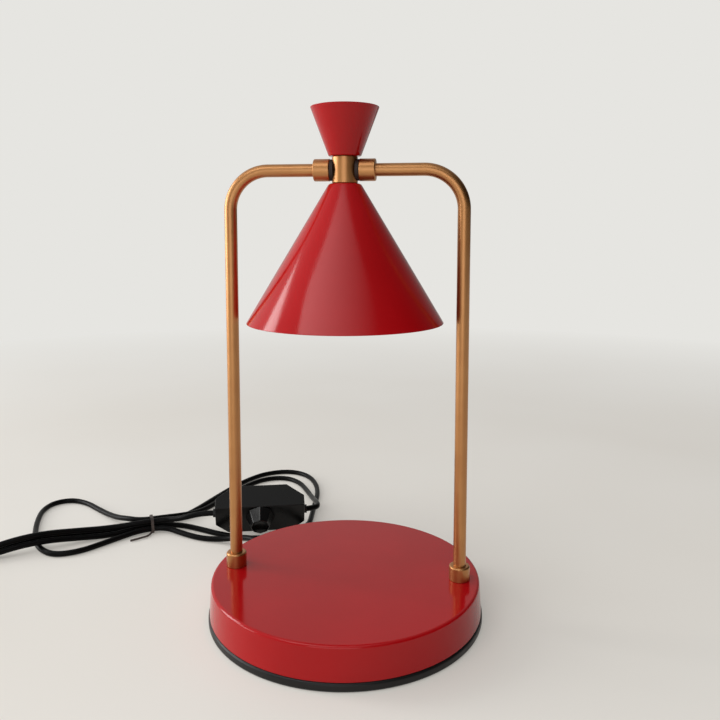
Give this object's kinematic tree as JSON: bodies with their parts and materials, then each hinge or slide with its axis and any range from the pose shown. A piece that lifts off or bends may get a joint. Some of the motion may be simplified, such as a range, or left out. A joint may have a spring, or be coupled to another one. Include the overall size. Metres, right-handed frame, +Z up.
{
  "type": "candle_warmer_lamp",
  "caption": "Candle warmer lamp: red round base, two copper-coloured posts, tilting red cone shade with an upper cup, corded inline dimmer",
  "frame": {"origin": "Centre of the foot ring, on the table", "axes": "X along the two arms from left to right as seen from the front, -Y to the front, +Z up"},
  "size_m": [0.4309, 0.3443, 0.3226],
  "materials": {
    "red_gloss": "gloss",
    "black_rubber": "matte",
    "copper_satin": "satin",
    "zinc_steel": "satin",
    "cast_iron": "rough",
    "black_plastic": "satin",
    "pale_plastic": "matte",
    "tie_wire": "satin",
    "lead_sleeve": "matte",
    "white_ceramic": "matte",
    "bulb_mirror": "polished",
    "bulb_glass": "gloss",
    "plain_brass": "satin",
    "board_green": "matte"
  },
  "bodies": {
    "frame": {"base_shell": "red_gloss", "foot_ring": "black_rubber", "cord_grommet": "black_rubber", "lamp_cord": "black_rubber", "plug_cord": "black_rubber", "plug_relief": "black_rubber", "dimmer_left_relief": "black_rubber", "dimmer_right_relief": "black_rubber", "left_tube": "copper_satin", "right_tube": "copper_satin", "left_base_ferrule": "copper_satin", "right_base_ferrule": "copper_satin", "left_hub_collar": "copper_satin", "right_hub_collar": "copper_satin", "bottom_plate": "zinc_steel", "bottom_screws": "zinc_steel", "clamp_screws": "zinc_steel", "left_post_nut": "zinc_steel", "right_post_nut": "zinc_steel", "left_post_washer": "zinc_steel", "right_post_washer": "zinc_steel", "left_pivot_nipple": "zinc_steel", "right_pivot_nipple": "zinc_steel", "dimmer_screws": "zinc_steel", "base_weight": "cast_iron", "dimmer_front_case": "black_plastic", "dimmer_back_case": "black_plastic", "plug_body": "black_plastic", "cord_clamp": "black_plastic", "terminal_block": "pale_plastic", "wire_tie": "tie_wire", "frame_lead": "lead_sleeve", "plug_pins": "plain_brass", "dimmer_pot": "board_green", "dimmer_board": "board_green"},
    "head": {"hub": "copper_satin", "pivot_stop_pin": "zinc_steel", "shade": "red_gloss", "upper_cup": "red_gloss", "cup_nipple": "zinc_steel", "shade_nipple": "zinc_steel", "nipple_nuts": "zinc_steel", "nipple_spacer": "zinc_steel", "lampholder_bracket": "zinc_steel", "lampholder": "white_ceramic", "lampholder_screws": "zinc_steel", "bulb_pins": "plain_brass", "bulb_base": "white_ceramic", "bulb_reflector": "bulb_mirror", "bulb_lens": "bulb_glass", "head_lead": "lead_sleeve", "left_pivot_washer": "black_plastic", "right_pivot_washer": "black_plastic"},
    "knob": {"dimmer_knob": "black_plastic", "dimmer_shaft": "zinc_steel"}
  },
  "joints": [
    {"name": "head_tilt", "type": "hinge", "parent": "frame", "child": "head", "pos_m": [0, 0, 0.2845], "axis": [1, 0, 0], "range_deg": [-90, 90]},
    {"name": "knob_turn", "type": "hinge", "parent": "frame", "child": "knob", "pos_m": [-0.08704, 0.10666, 0.01526], "axis": [0.2346, -0.8754, -0.4226], "range_deg": [0, 280]}
  ]
}
